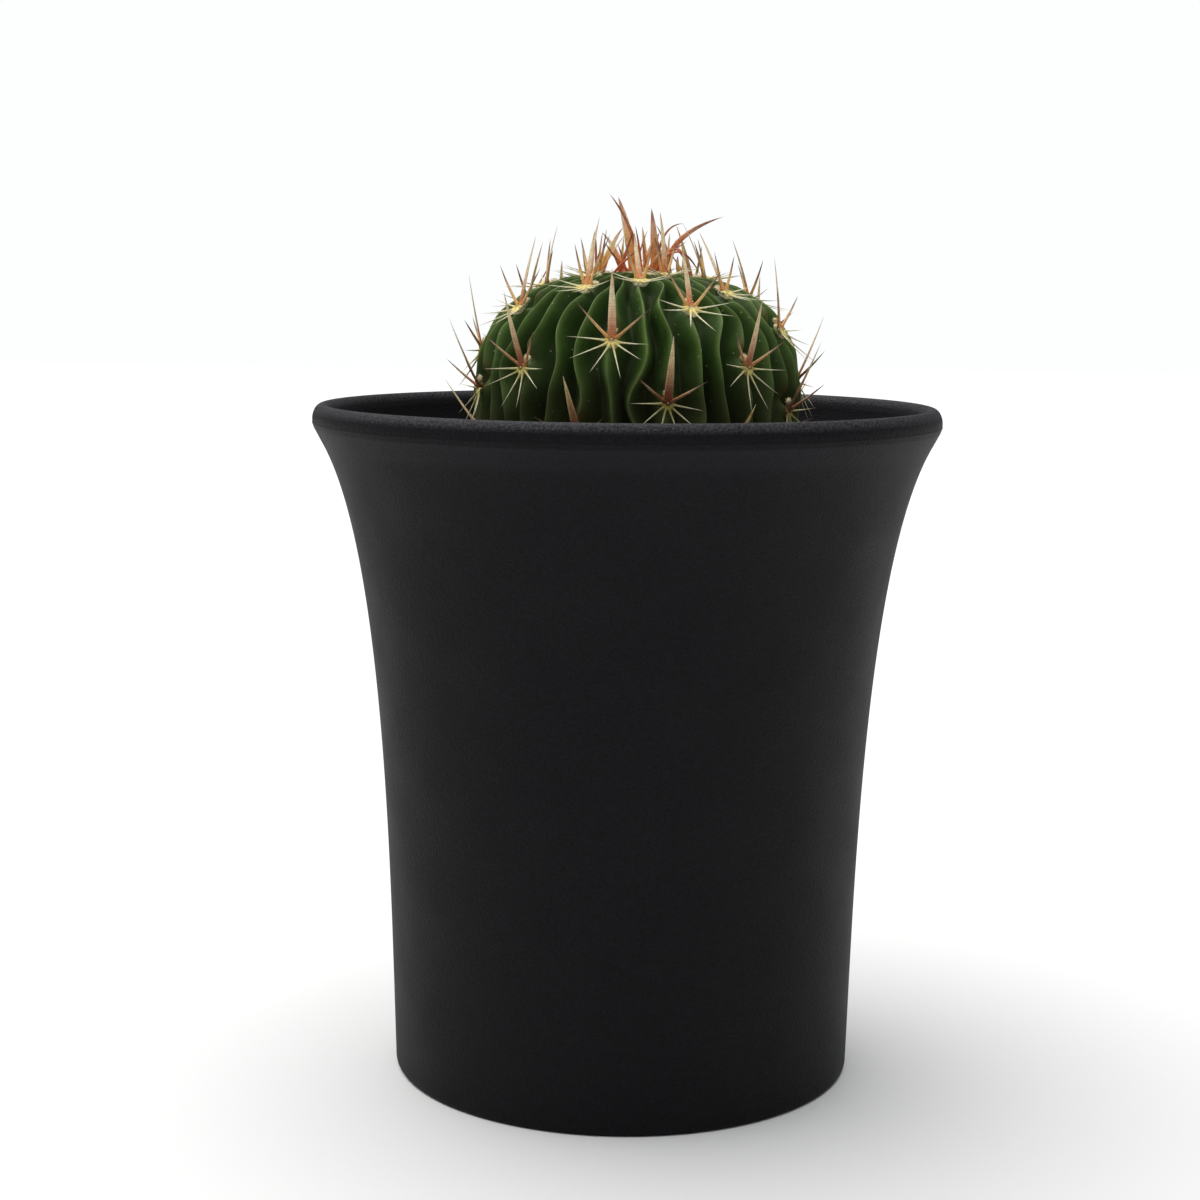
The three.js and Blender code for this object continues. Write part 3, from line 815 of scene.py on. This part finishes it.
def tapered_shell(path, flat, form, swelling):
    """A spine as rings round a path, swollen at the foot and tapering to a sharp tip.

    The form's half width, with a swelling added that fades away from the foot, is multiplied by
    one minus the share of the way along to the power of the form's fullness.
    """
    sides, stations = form["sides"], form["stations"]
    share = np.linspace(0, 1, stations + 1)[:-1, None]
    run = unit(np.gradient(path, axis=0))
    across = unit(flat - run * (run @ flat)[:, None])
    through = np.cross(run, across)
    from_foot = np.linalg.norm(path[:-1] - path[0], axis=1, keepdims=True)
    bulb = swelling * np.exp(-((from_foot / BULB_FADE) ** 2))
    taper = (1 - share ** form["fullness"])[:, None, :]
    half_width = (form["width"] / 2 + bulb * BULB_EXTRA[0])[:, None, :] * taper
    half_thickness = (form["thickness"] / 2 + bulb * BULB_EXTRA[1])[:, None, :] * taper
    angle = np.linspace(0, 2 * np.pi, sides, endpoint=False)[None, :, None]
    rings = (
        path[:-1, None]
        + across[:-1, None] * np.cos(angle) * half_width
        + through[:-1, None] * np.sin(angle) * half_thickness
    )
    vertices = np.concatenate([rings.reshape(-1, 3), path[-1:]])
    faces = ring_faces(stations, sides, closed_section=False).tolist()
    last = (stations - 1) * sides
    faces += [[last + i, last + (i + 1) % sides, stations * sides] for i in range(sides)]
    faces += [list(range(sides))[::-1]]
    along = np.concatenate([np.repeat(share[:, 0], sides), [1.0]])
    return vertices, faces, along


def gathered(name, shells):
    """One piece from several shells of (vertices, faces, along, kind, youth)."""
    vertices, faces, kinds, along, youths = [], [], [], [], []
    base = 0
    for points, own_faces, own_along, kind, youth in shells:
        vertices.append(points)
        faces += [[base + i for i in face] for face in own_faces]
        kinds += [SPINE_KINDS.index(kind)] * len(own_faces)
        along.append(own_along)
        youths.append(np.full(len(points), youth))
        base += len(points)
    piece = mesh_piece(name, np.concatenate(vertices) + PLANT_OFFSET, faces, SPINE_SKINS, kinds)
    facing_out(piece)
    float_attribute(piece, "along_spine", np.concatenate(along))
    float_attribute(piece, "youth", np.concatenate(youths))
    return piece


def areole_frame(k):
    """The seat of areole k and its three directions: out, up towards the crown, and side."""
    radius, height, outward, downward = outline_at(areole_arc(k))
    sin, cos = np.sin(areole_heading(k)), np.cos(areole_heading(k))
    out = np.array([-downward * sin, downward * cos, outward])
    up = np.array([-outward * sin, outward * cos, -downward])
    side = np.array([cos, sin, 0.0])
    crest = np.array([radius * sin, -radius * cos, height])
    return crest - CUSHION_SINK * out, out, up, side


def cushion(centre, out, up, side, half_sizes, draw):
    """A lumpy ellipsoid: rows of latitude round the outward axis.

    Its width is multiplied by one plus two small sine waves round it, three and five to a turn,
    that start at random and die out towards the poles.
    """
    rows, around = 8, 14
    lift = np.linspace(-np.pi / 2, np.pi / 2, rows + 1)[1:-1, None]
    turn = np.linspace(0, 2 * np.pi, around, endpoint=False)[None, :]
    swell = 1 + 0.14 * np.sin(3 * turn + draw.uniform(0, 6)) * np.cos(lift)
    swell += 0.1 * np.sin(5 * turn + draw.uniform(0, 6)) * np.cos(3 * lift)
    flat_x = half_sizes[0] * np.cos(lift) * np.cos(turn) * swell
    flat_y = half_sizes[1] * np.cos(lift) * np.sin(turn) * swell
    rise = half_sizes[2] * np.sin(lift) * np.ones_like(turn)
    body = centre + flat_x[..., None] * side + flat_y[..., None] * up + rise[..., None] * out
    poles = np.array([centre - out * half_sizes[2], centre + out * half_sizes[2]])
    vertices = np.concatenate([body.reshape(-1, 3), poles])
    faces = ring_faces(rows - 1, around, closed_section=False).tolist()
    count = (rows - 1) * around
    faces += [[count, (i + 1) % around, i] for i in range(around)]
    last = (rows - 2) * around
    faces += [[count + 1, last + i, last + (i + 1) % around] for i in range(around)]
    return vertices, faces, np.zeros(len(vertices))


def wool(centre, out, up, side, half_sizes, count, length, youth, draw):
    """Short crimped hairs that stand out of a cushion in all outward directions."""
    shells = []
    steps = np.linspace(0, 1, HAIR["stations"] + 1)[:, None]
    for _ in range(count):
        spread = unit(draw.normal(size=3) + [0, 0, HAIR_OUTWARD])
        direction = unit(spread[0] * side + spread[1] * up + spread[2] * out)
        inside = spread * half_sizes * draw.uniform(*HAIR_ROOTS)
        foot = centre + inside[0] * side + inside[1] * up + inside[2] * out
        curl = unit(np.cross(direction, draw.normal(size=3)))
        reach = length * draw.uniform(*HAIR_SPREAD)
        path = foot + direction * reach * steps + curl * HAIR_CURL * reach * steps**2
        shells.append((*tapered_shell(path, curl, HAIR, 0), "wool", youth))
    return shells


def cluster(k):
    """All of areole k: its cushion with a knob in the middle, the wool above, and the spines.

    A spine's path is its foot plus its length in its own direction times the share of the way,
    plus its bow and a random side curve times that share squared.
    """
    draw = np.random.default_rng(500 + k)
    seat, out, up, side = areole_frame(k)
    youth = np.clip((k - OLD_UNTIL) / YOUTH_SPAN, 0, 1)
    felt_sizes = CUSHION * (1 + CUSHION_GROWTH * youth)
    hairs = CUSHION_HAIRS[0] + int(CUSHION_HAIRS[1] * youth)
    hair_length = CUSHION_HAIR_LENGTH[0] + CUSHION_HAIR_LENGTH[1] * youth
    shells = [(*cushion(seat, out, up, side, felt_sizes, draw), "wool", youth)]
    shells += wool(seat, out, up, side, felt_sizes, hairs, hair_length, youth, draw)
    tuft = seat + TUFT_PLACE[0] * up + TUFT_PLACE[1] * out + TUFT_SIDE.get(k, 0) * side
    tuft_sizes = TUFT * (1 + TUFT_GROWTH * youth)
    shells += [(*cushion(tuft, out, up, side, tuft_sizes, draw), "wool", 1)]
    shells += wool(tuft, out, up, side, tuft_sizes, TUFT_HAIRS, TUFT_HAIR_LENGTH, 1, draw)
    core = seat + CORE_PLACE[1] * out + CORE_PLACE[0] * up
    shells += [(*cushion(core, out, up, side, CORE, draw), "wool", 0.5)]
    steepness = np.degrees(np.arcsin(np.clip(out[2], 0, 1)))
    shortening = SHORTER_BY * np.clip((k - SHORTER_FROM) / SHORTER_OVER, 0, 1)
    for kind, turn, rise, length in USUAL_STAR:
        form = dict(SPINE_FORMS[kind])
        turn += draw.normal() * TURN_SPREAD
        if kind != "needle":
            rise = max(rise, steepness * draw.uniform(*UPRIGHT_SPREAD))
        length *= draw.uniform(*LENGTH_SPREAD) * (1 - shortening)
        if kind == "flat" and k > BROAD_FLAT_UNTIL:
            form["width"] *= NARROW_FLAT
        turn, rise = np.radians(turn), np.radians(rise)
        flat_way = np.cos(turn) * up + np.sin(turn) * side
        direction = np.cos(rise) * flat_way + np.sin(rise) * out
        drop = -direction[2] * length
        room = seat[2] - SOIL_TOP - SOIL_CLEARANCE
        length *= min(1, room / drop) if drop > 0 else 1
        foot = seat + FOOT_LIFT * out + FOOT_REACH[kind] * (1 + FOOT_SPREAD * youth) * flat_way
        bow = form["bow"] * (up if kind != "needle" else -out)
        curve = draw.normal() * SIDE_CURVE * np.cross(direction, out)
        share = np.linspace(0, 1, form["stations"] + 1)[:, None]
        path = foot + direction * length * share + (bow + curve) * share**2
        sideways = unit(np.cross(direction, out))
        tint = np.clip(youth + draw.normal() * TINT_SPREAD, 0, 1)
        shells.append((*tapered_shell(path, sideways, form, 1), kind, tint))
    return shells


for number, k in enumerate(AREOLES, start=1):
    star_piece = gathered(f"spine_cluster_{number:02d}", cluster(k))
    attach(star_piece, "root")
    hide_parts(f"areole_{number:02d}")


# --- Crown --------------------------------------------------------------------------------------
# The growing point in the middle of the dome: a low mound of cream wool. The youngest spines
# stand in it, red-brown, pink or golden, some nearly upright and some hooked over to one side.
CROWN_MOUND = np.array([4.6, 4.6, 0.6])  # half sizes
CROWN_SINK = 0.4  # of the mound's middle, under the top of the dome
CROWN_HAIRS = 700
CROWN_HAIR_LENGTH = 0.5
CROWN_THICKNESS = 0.34
CROWN_FULLNESS = 3.2
# Each row: foot, bend and tip in mm from the mound's middle (right, back, up), width, youth
CROWN_SPINES = [
    ((0.3, -1, 0), (-0.3, -1, 7.5), (-4.9, -1.5, 13), 0.7, 0.05),
    ((-0.7, 0.5, 0), (-1.3, 0.8, 6.5), (-3.4, 0.8, 12.6), 1.65, 0.8),
    ((0.5, -0.2, 0), (0.3, -0.2, 4), (-0.6, -0.2, 8), 0.45, 0),
    ((2.6, 0.5, 0), (2.7, 0.5, 5.5), (2.0, 1, 10.8), 1.35, 0.45),
    ((3.3, 0.8, 0), (3.5, 0.8, 2.5), (3.0, 1.2, 6.0), 1.2, 0.1),
    ((4.2, 1.4, 0), (4.5, 1.4, 2.6), (4.3, 1.4, 5.4), 1.0, 0.3),
    ((4.5, 0.8, 0), (4.3, 0.8, 6.6), (13.8, 1.5, 9.5), 0.95, 0.2),
    ((2.8, 1.5, 0), (3.2, 1.5, 8.5), (7.4, 1.5, 8.3), 0.42, 0.05),
    ((5.2, 1.2, 0), (4.9, 1.2, 5), (2.7, 1.2, 8.2), 0.42, 0),
    ((4.6, 0, 0), (4.7, 0, 3.4), (5.0, 0.2, 6.8), 0.5, 0.7),
    ((2.6, -0.6, 0.4), (6.5, -0.8, 7.6), (10.3, -1, -0.6), 0.5, 0.05),
    ((4.0, 0.4, 0.5), (6.2, 0.4, 8.4), (8.4, 0, -0.5), 0.75, 0.15),
    ((6.9, 0.8, -0.4), (6.1, 0.8, 1.4), (6.4, 0.8, 3.2), 0.7, 0.9),
    ((-6.1, 2, -0.4), (-5.2, 2, 4), (-2.5, 2, 7.7), 1.05, 1),
    ((-6.4, 2.4, -0.3), (-5.6, 2.4, 3.2), (-3.5, 2.4, 6.5), 0.55, 0),
    ((-6.8, 2.5, -0.5), (-6.9, 2.5, 3), (-6.9, 2.5, 6.2), 0.5, 0),
    ((-6.4, 1.5, -0.4), (-6.4, 1.5, 4), (-5.8, 1.8, 6.9), 0.4, 0.6),
    ((-3.2, -1.5, 0), (-2.2, -1.5, 3.5), (-0.8, -1.5, 7.2), 0.5, 0),
    ((-4.2, -2.4, 0), (-2.2, -2.4, 2.6), (0, -2.4, 4), 0.45, 0),
    ((-1.2, 0.8, 0.3), (-3.8, 0.8, 2.5), (-5.5, 0.8, 5.3), 0.5, 0.05),
    ((-1.8, -0.5, 0), (-2.6, -0.5, 3), (-3.4, -0.5, 5), 0.4, 0.1),
    ((-2.4, 0.3, 0), (-3.4, 0.3, 1.8), (-4.2, 0.3, 3.8), 0.45, 0),
    ((-2.9, 1, 0), (-2.6, 1, 2.2), (-1.4, 1, 4.4), 0.45, 0.05),
    ((-0.5, 1, 0), (0.3, 1, 5), (1.5, 1, 7.2), 0.3, 0.2),
    ((1.4, 0.4, 0), (1.2, 0.4, 2.8), (0.5, 0.4, 5.6), 0.4, 0.1),
    ((1.2, -2, 0), (2.2, -2.4, 2.5), (4.2, -3, 4.2), 0.5, 0.4),
    ((0.8, 3, 0), (1.5, 4, 4), (3.5, 7, 7), 0.9, 0.4),
    ((-2.2, 3.2, 0), (-3.5, 4.5, 4.5), (-6, 6.5, 7), 0.8, 0.5),
    ((3.2, 3.4, 0), (5, 4.5, 4), (8, 6, 5.5), 0.5, 0.2),
]


def crown_shells():
    """The mound, its wool, and the young spines.

    Each spine follows the quadratic curve from its foot to its tip that its bend draws aside.
    """
    draw = np.random.default_rng(77)
    east, north, upright = np.eye(3)
    middle = np.array([0, 0, shoot[0, 1] - CROWN_SINK])
    shells = [(*cushion(middle, upright, north, east, CROWN_MOUND, draw), "wool", 0.45)]
    shells += wool(middle, upright, north, east, CROWN_MOUND, CROWN_HAIRS, CROWN_HAIR_LENGTH, 0.7, draw)
    for foot, bend, tip, width, youth in CROWN_SPINES:
        form = {**SPINE_FORMS["flat"], "width": width, "fullness": CROWN_FULLNESS}
        form["thickness"] = min(CROWN_THICKNESS, width)
        share = np.linspace(0, 1, form["stations"] + 1)[:, None]
        points = [middle + np.array(point) for point in (foot, bend, tip)]
        path = points[0] * (1 - share) ** 2 + 2 * points[1] * share * (1 - share) + points[2] * share**2
        facing = np.array([1.0, 0.25 * draw.normal(), 0])
        shells.append((*tapered_shell(path, facing, form, 0.4), "crown", youth))
    return shells


crown = gathered("woolly_crown", crown_shells())
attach(crown, "root")
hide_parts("crown")


# --- Soil ---------------------------------------------------------------------------------------
# Dry potting mix that fills the pot to 14 mm under the rim: a dark bed of fine bark with grains
# of pumice, baked clay and grit lying loose on top of it.
SOIL_GAP = 0.35
BED_LIFT = 0.3  # over the pot's floor
SOCKET_TUCK = 1.4  # how far the bed reaches in under the stem's collar
AROUND_BED = 240
BED_DROP = 0.5  # of the rough top's mean level, under the soil's level
BED_WAVES = [(0.35, 0.9, 1.3, 0.7), (0.25, 1.7, 2, 1.1)]  # height, pace, bend and pace of the bend


def pot_inside(height):
    """Inner radius of the pot's wall at a height."""
    wall = wall_outline(400)
    return np.interp(height, wall[:, 1], wall[:, 0]) - WALL


def bed_surface():
    """The bed's closed surface, as an array of rings of points.

    The outline runs out over the floor, up inside the wall, in over the top and down the socket of
    the root neck, whose radius shrinks by the square of the share of its depth. Inside the collar
    the rings slide over to the plant, and two sine waves, each bent by another, roughen the top.
    """
    floor = FLOOR_TOP + BED_LIFT
    side_heights = np.linspace(floor, SOIL_TOP, 24)
    side = np.column_stack([pot_inside(side_heights) - SOIL_GAP, side_heights])
    socket_radius = COLLAR_RADIUS - SOCKET_TUCK
    top_radii = np.linspace(side[-1, 0], socket_radius, 60)[1:]
    top = np.column_stack([top_radii, np.full(len(top_radii), float(SOIL_TOP))])
    neck_down = np.linspace(0, 0.97, 12)[1:]
    socket = np.column_stack([socket_radius * (1 - neck_down**2), SOIL_TOP - ROOT_DEPTH * neck_down])
    bottom = np.array([[SOCKET_TUCK, floor], [30, floor]])
    outline = np.vstack([bottom, side, top, socket])
    points = revolved(outline, AROUND_BED).reshape(len(outline), AROUND_BED, 3)
    slide = np.clip((outline[:, 1] - FLOOR_TOP) / (SOIL_TOP - ROOT_DEPTH - FLOOR_TOP), 0, 1)
    slide *= outline[:, 0] < COLLAR_RADIUS
    points += slide[:, None, None] * PLANT_OFFSET
    top_rows = slice(len(bottom) + len(side), len(outline) - len(socket))
    x, y = points[top_rows, :, 0], points[top_rows, :, 1]
    bumps = 0
    for (high, pace, bend, bend_pace), (along, beside) in zip(BED_WAVES, [(x, y), (y, x)]):
        bumps = bumps + high * np.sin(along * pace + bend * np.sin(beside * bend_pace))
    points[top_rows, :, 2] += bumps - BED_DROP
    return points


bark_mix, tree, shader = node_material("dark_bark_mix")
crumbs = noise_node(tree, 900, detail=8, roughness=0.7)
tree.links.new(
    ramp_node(
        tree,
        crumbs,
        [(0.3, (0.018, 0.012, 0.008)), (0.55, (0.06, 0.04, 0.026)), (0.75, (0.16, 0.12, 0.08))],
    ),
    shader.inputs["Base Color"],
)
shader.inputs["Roughness"].default_value = 0.95
bump_node(tree, shader, crumbs, 1.0, 0.001)
bed_rings = bed_surface()
bed = mesh_piece(
    "soil_bed",
    bed_rings.reshape(-1, 3),
    ring_faces(len(bed_rings), AROUND_BED, closed_section=True),
    [bark_mix],
)
facing_out(bed)
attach(bed, "root")
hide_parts("soil")

GRAINS = 1500
GRAIN_SIZES = (0.45, 1.25)  # the smallest grain's radius, and how much larger the largest is
LARGE_GRAIN_RARITY = 3.2
GRAIN_LIE = (-0.1, 0.5)  # how far a grain's middle lies over the bed, in its own radii
GRAIN_STRETCH = (0.65, 1.15)
GRAIN_KNOBBLES = 0.16
GRIT_MARGIN = 0.6  # the grit reaches this far in under the collar and stops this far off the wall
draw = np.random.default_rng(31)


def rounded_cube():
    """The 26 corners, edge middles and face middles of a cube pulled onto a ball, and its quads."""
    lattice = [np.array(p) for p in np.ndindex(3, 3, 3) if p != (1, 1, 1)]
    number = {tuple(p): i for i, p in enumerate(lattice)}
    quads = []
    for axis in range(3):
        u, v = (axis + 1) % 3, (axis + 2) % 3
        for side in (0, 2):
            for a in (0, 1):
                for b in (0, 1):
                    steps = [(a, b), (a + 1, b), (a + 1, b + 1), (a, b + 1)]
                    if side == 0:
                        steps.reverse()
                    quad = []
                    for i, j in steps:
                        place = [0, 0, 0]
                        place[axis], place[u], place[v] = side, i, j
                        quad.append(number[tuple(place)])
                    quads.append(quad)
    return unit(np.array(lattice, float) - 1), np.array(quads)


pebble, pebble_quads = rounded_cube()
size = GRAIN_SIZES[0] + GRAIN_SIZES[1] * draw.random(GRAINS) ** LARGE_GRAIN_RARITY
reach = draw.random(GRAINS) ** 0.5
heading = draw.random(GRAINS) * 2 * np.pi
inner_edge = COLLAR_RADIUS - GRIT_MARGIN
outer_edge = pot_inside(SOIL_TOP) - GRIT_MARGIN - size
radius = np.sqrt(inner_edge**2 + (outer_edge**2 - inner_edge**2) * reach**2)
place = np.column_stack([radius * np.cos(heading), radius * np.sin(heading), np.zeros(GRAINS)])
near_plant = np.clip((pot_inside(SOIL_TOP) - radius) / (pot_inside(SOIL_TOP) - inner_edge), 0, 1)
place += near_plant[:, None] * PLANT_OFFSET
place[:, 2] = SOIL_TOP - BED_DROP + size * draw.uniform(*GRAIN_LIE, GRAINS)
stretch = size[:, None] * draw.uniform(*GRAIN_STRETCH, (GRAINS, 3))
spin = np.linalg.qr(draw.normal(size=(GRAINS, 3, 3)))[0]
knobbly = pebble[None] * (1 + draw.uniform(-GRAIN_KNOBBLES, GRAIN_KNOBBLES, (GRAINS, len(pebble), 1)))
grain_points = np.einsum("nij,nvj->nvi", spin, knobbly * stretch[:, None]) + place[:, None]
grain_quads = pebble_quads[None] + (np.arange(GRAINS) * len(pebble))[:, None, None]

loose_grit, tree, shader = node_material("loose_grit")
kinds = ramp_node(
    tree,
    stored_node(tree, "grain_kind"),
    [
        (0.0, (0.03, 0.02, 0.013)),
        (0.35, (0.1, 0.062, 0.035)),
        (0.36, (0.34, 0.2, 0.1)),
        (0.62, (0.4, 0.28, 0.16)),
        (0.63, (0.55, 0.5, 0.42)),
        (0.82, (0.62, 0.58, 0.5)),
        (0.83, (0.09, 0.085, 0.08)),
        (1.0, (0.16, 0.15, 0.14)),
    ],
)
pores = noise_node(tree, 2400, detail=5, roughness=0.65)
pits = ramp_node(tree, pores, [(0.3, (0.55, 0.53, 0.5)), (0.65, (1.15, 1.14, 1.12))])
tree.links.new(multiply_node(tree, kinds, pits), shader.inputs["Base Color"])
shader.inputs["Roughness"].default_value = 0.92
bump_node(tree, shader, pores, 0.8, 0.0004)
grit = mesh_piece("soil_grit", grain_points.reshape(-1, 3), grain_quads.reshape(-1, 4), [loose_grit])
facing_out(grit)
float_attribute(grit, "grain_kind", np.repeat(draw.random(GRAINS), len(pebble)))
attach(grit, "root")
